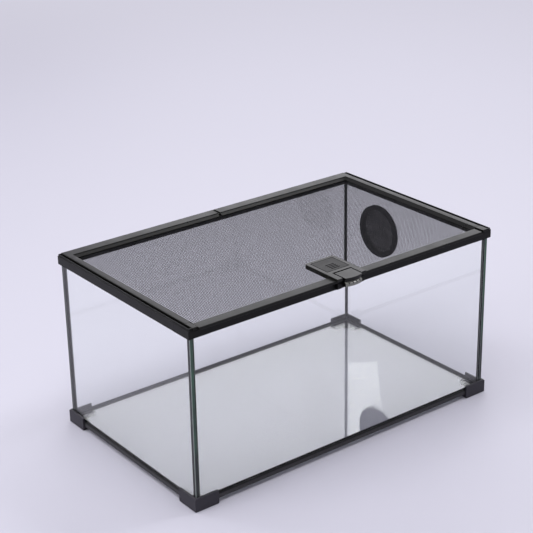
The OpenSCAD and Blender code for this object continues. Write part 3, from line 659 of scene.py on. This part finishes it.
class TERRARIUM_OT_feet(bpy.types.Operator):
    """Rounds and finishes the corner feet and the trim strips between them"""
    bl_idname = "terrarium.feet"
    bl_label = "Feet and base trim"

    def execute(self, context):
        settings = context.scene.terrarium_mouldings
        # ABS from a sandblasted mould: matt, with a 0.5 mm grain
        foot_skin = speckled_plastic("moulded_charcoal_abs", "#2b2930", "#36343b", 0.5,
                                     grain=0.5 * MM, depth=0.05 * MM, gloss=0.3)
        # PVC from a matt die: smoother. The top 2 mm of the strip is coloured black
        strip_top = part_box("base_trim_front")[1][2]
        trim_skin = speckled_plastic("extruded_charcoal_pvc", "#2f2e31", "#3a393b", 0.45,
                                     grain=0.5 * MM, depth=0.03 * MM, gloss=0.25,
                                     black_above=strip_top - 2.0 * MM)
        for node in nodes_in("dark_grey_plastic"):
            if node.startswith("foot"):
                settle(rounded_copy(node, settings.foot_radius), node, foot_skin)
            else:
                settle(rounded_copy(node, settings.rail_radius), node, trim_skin)
        return {"FINISHED"}


class TERRARIUM_OT_frame(bpy.types.Operator):
    """Rounds and finishes the top frame, its corners and the catch"""
    bl_idname = "terrarium.frame"
    bl_label = "Top frame"

    def execute(self, context):
        settings = context.scene.terrarium_mouldings
        skins = rail_skins("frame", "#090908", "#10100f", 0.34)
        for node in nodes_in("black_frame_plastic"):
            finish = skins[run_axis(node)]
            settle(rounded_copy(node, settings.rail_radius), node, finish)
        return {"FINISHED"}


class TERRARIUM_OT_lid(bpy.types.Operator):
    """Rounds and finishes the lid's rails, corners and joiner, and its rubber spline"""
    bl_idname = "terrarium.lid"
    bl_label = "Lid rails"

    def execute(self, context):
        settings = context.scene.terrarium_mouldings
        skins = rail_skins("lid", "#0e0e0d", "#171715", 0.32)
        for node in nodes_in("black_lid_plastic"):
            finish = skins[run_axis(node)]
            settle(rounded_copy(node, settings.rail_radius), node, finish)
        rubber = extruded_rubber()
        for node in nodes_in("spline_rubber"):
            settle(rounded_copy(node, 0), node, rubber)
        return {"FINISHED"}


class TERRARIUM_OT_screen(bpy.types.Operator):
    """Lays the lid's screen as two crossed layers of fine wire"""
    bl_idname = "terrarium.screen"
    bl_label = "Lid screen"

    def execute(self, context):
        settings = context.scene.terrarium_screens
        low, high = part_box("lid_screen")
        # Such a screen has 0.3 mm wire every 1.4 mm, drawn nearly twice as coarse so that it
        # shows. The layers hang under the rails' ledge and sink into each other where they cross.
        radius = settings.lid_wire / 2
        top = high[2] - radius
        layers = [wire_layer(name, low, high, along, settings.lid_pitch, radius, height)
                  for name, along, height in (("lid_wires_x", 0, top - radius),
                                              ("lid_wires_y", 1, top))]
        screen = join(layers, "lid_screen_woven")
        settle(screen, "lid_screen", coated_wire("black_coated_lid_wire", "#121115"))
        return {"FINISHED"}


class TERRARIUM_OT_vent(bpy.types.Operator):
    """Finishes the round vent and fills it with a fine wire screen"""
    bl_idname = "terrarium.vent"
    bl_label = "Side vent"

    def execute(self, context):
        settings = context.scene.terrarium_screens
        low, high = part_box("vent_grille")
        centre = (low + high) / 2
        play = 0.05 * MM
        reach = (high[1] - low[1]) / 2 - play
        shortest = 2 * MM
        radius = settings.vent_wire / 2
        count = int(reach / settings.vent_pitch)
        wires = []
        # A close weave, to keep feeder insects in. Its level wires, along Y, lie outside the
        # upright ones, along Z
        for axis, turn, side in ((1, (math.pi / 2, 0, 0), radius), (2, (0, 0, 0), -radius)):
            deselect()
            bpy.ops.mesh.primitive_cylinder_add(vertices=6, radius=radius, depth=1.0)
            wire = context.object
            for step in range(-count, count + 1):
                offset = step * settings.vent_pitch
                chord = 2 * math.sqrt(max(reach ** 2 - offset ** 2, 0.0))
                if chord < shortest:
                    continue
                pick(wire)
                bpy.ops.object.duplicate(linked=False)
                copy = context.object
                copy.scale = (1, 1, chord)
                copy.rotation_euler = turn
                place = centre + Vector((side, 0, 0))
                place[3 - axis] += offset
                copy.location = place
                wires.append(copy)
            bpy.data.objects.remove(wire)
        screen = join(wires, "vent_screen_woven")
        pick(screen)
        bpy.ops.object.transform_apply(location=True, rotation=True, scale=True)
        settle(screen, "vent_grille", coated_wire("black_coated_vent_wire", "#121115"))

        # ABS from a polished mould with a light etch: satin, with a 0.4 mm grain
        skin = speckled_plastic("moulded_black_abs", "#1c1a20", "#25232a", 0.4,
                                grain=0.4 * MM, depth=0.015 * MM, gloss=0.15)
        for node in nodes_in("black_vent_plastic"):
            settle(rounded_copy(node, 0), node, skin)
        return {"FINISHED"}


class TERRARIUM_OT_latch(bpy.types.Operator):
    """Rounds and finishes the latch body and its tongue"""
    bl_idname = "terrarium.latch"
    bl_label = "Latch"

    def execute(self, context):
        settings = context.scene.terrarium_mouldings
        # Acetal from a polished mould: smooth and slightly waxy
        skin = speckled_plastic("moulded_black_acetal", "#131311", "#1b1b18", 0.3,
                                grain=0.6 * MM, depth=0.008 * MM, gloss=0.21)
        # Painted shade: the walls of the slots and grooves are near black and matt, for the shade
        # that falls deep in them
        slot_painted_shade_skin = speckled_plastic("black_acetal_painted_slot_shade", "#040404", "#070707", 0.7,
                                     grain=0.6 * MM, depth=0.01 * MM, gloss=0.05)
        # Painted highlight: the lip is pale grey and glossy, for the bright line of light along
        # it
        lip_painted_highlight_skin = speckled_plastic("black_acetal_painted_lip_highlight", "#5e5e59", "#8b8b84", 0.26,
                                     grain=1.6 * MM, depth=0.01 * MM, gloss=0.5)
        # The mould is etched over the body's panel, which comes out matt
        etched_skin = speckled_plastic("etched_black_acetal", "#100f0f", "#171716", 0.42,
                                       grain=0.5 * MM, depth=0.04 * MM, gloss=0.13)
        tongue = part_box("latch_tongue")
        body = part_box("latch_body")
        for node in nodes_in("black_latch_plastic"):
            piece = rounded_copy(node, settings.latch_radius)
            settle(piece, node, skin)
            for finish in (slot_painted_shade_skin, lip_painted_highlight_skin, etched_skin):
                piece.data.materials.append(finish)
            for face in piece.data.polygons:
                corners = [piece.data.vertices[index].co for index in face.vertices]
                face.material_index = self.finish_of(node, face, corners, tongue, body)
        return {"FINISHED"}

    @staticmethod
    def finish_of(node, face, corners, tongue, body):
        """The slot of one face's finish. tongue and body are the two nodes' boxes."""
        polished, painted_shade, painted_highlight, etched = range(4)
        low, high = tongue
        middle = (low[0] + high[0]) / 2
        reach = (high[0] - low[0]) / 2
        centre = face.center
        off = abs(centre[0] - middle)
        faces_sideways = abs(face.normal[0]) > 0.6
        faces_front = face.normal[1] < -0.3

        if node == "latch_tongue":
            # The lip is the low front edge, where a finger lifts the tongue
            on_lip = centre[2] < low[2] + 5.8 * MM and centre[1] < low[1] + 5.5 * MM
            between_ends = off < reach - 0.3 * MM
            # The tongue's sides face the slits and get painted shade
            if faces_sideways:
                return painted_shade
            # The lip gets the painted highlight
            return painted_highlight if on_lip and faces_front and between_ends else polished

        # The panel lies behind the tongue. It ends in the middle of the groove round it, and
        # its own grip grooves get painted shade
        body_back, body_top = body[1][1], body[1][2]
        panel_half = 18 * MM
        panel_front = high[1] + 6 * MM
        panel_back = body_back - 5.45 * MM
        if centre[1] > panel_front and all(
                abs(corner[0] - middle) < panel_half and corner[1] < panel_back
                for corner in corners):
            return etched if centre[2] > body_top - 0.3 * MM else painted_shade

        # Painted shade in the slot that the tongue turns in: its side walls, and all below the
        # tongue's top
        in_slot = off < reach + 2.2 * MM and centre[1] < high[1] + 1.2 * MM
        if in_slot and (faces_sideways or centre[2] < high[2] - 0.5 * MM):
            return painted_shade
        return polished


class TERRARIUM_OT_hinges(bpy.types.Operator):
    """Finishes the hinge leaves and lugs, the pins and the screws"""
    bl_idname = "terrarium.hinges"
    bl_label = "Hinges and pins"

    def execute(self, context):
        settings = context.scene.terrarium_mouldings
        # Nylon from a lightly textured mould: satin
        skin = speckled_plastic("moulded_black_nylon", "#131312", "#1c1c1b", 0.42,
                                grain=0.5 * MM, depth=0.02 * MM, gloss=0.3)
        for node in nodes_in("black_hinge_plastic"):
            settle(rounded_copy(node, settings.rail_radius), node, skin)
        steel = zinc_plated_steel()
        deburred = 0.12 * MM
        for node in nodes_in("steel"):
            settle(rounded_copy(node, deburred), node, steel)
        return {"FINISHED"}


# ---- The add-on -------------------------------------------------------------------------

STEPS = (TERRARIUM_OT_stage, TERRARIUM_OT_glass, TERRARIUM_OT_silicone, TERRARIUM_OT_feet,
         TERRARIUM_OT_frame, TERRARIUM_OT_lid, TERRARIUM_OT_screen, TERRARIUM_OT_vent,
         TERRARIUM_OT_latch, TERRARIUM_OT_hinges)

SETTINGS = {
    "terrarium_glass": GlassSettings,
    "terrarium_mouldings": MouldingSettings,
    "terrarium_screens": ScreenSettings,
    "terrarium_stage": StageSettings,
}


class TERRARIUM_PT_panel(bpy.types.Panel):
    """Lists the terrarium's pieces and their settings"""
    bl_label = "Terrarium"
    bl_idname = "TERRARIUM_PT_panel"
    bl_space_type = "VIEW_3D"
    bl_region_type = "UI"
    bl_category = "Terrarium"

    def draw(self, context):
        layout = self.layout
        for step in STEPS:
            layout.operator(step.bl_idname)
        for group in SETTINGS:
            box = layout.box()
            values = getattr(context.scene, group)
            for name in values.__annotations__:
                box.prop(values, name)


def register():
    for group, kind in SETTINGS.items():
        bpy.utils.register_class(kind)
        setattr(bpy.types.Scene, group, bpy.props.PointerProperty(type=kind))
    for kind in STEPS + (TERRARIUM_PT_panel,):
        bpy.utils.register_class(kind)


def unregister():
    for kind in reversed(STEPS + (TERRARIUM_PT_panel,)):
        bpy.utils.unregister_class(kind)
    for group, kind in SETTINGS.items():
        delattr(bpy.types.Scene, group)
        bpy.utils.unregister_class(kind)


def main():
    register()
    for step in STEPS:
        area, name = step.bl_idname.split(".")
        getattr(getattr(bpy.ops, area), name)()


if __name__ == "__main__":
    main()
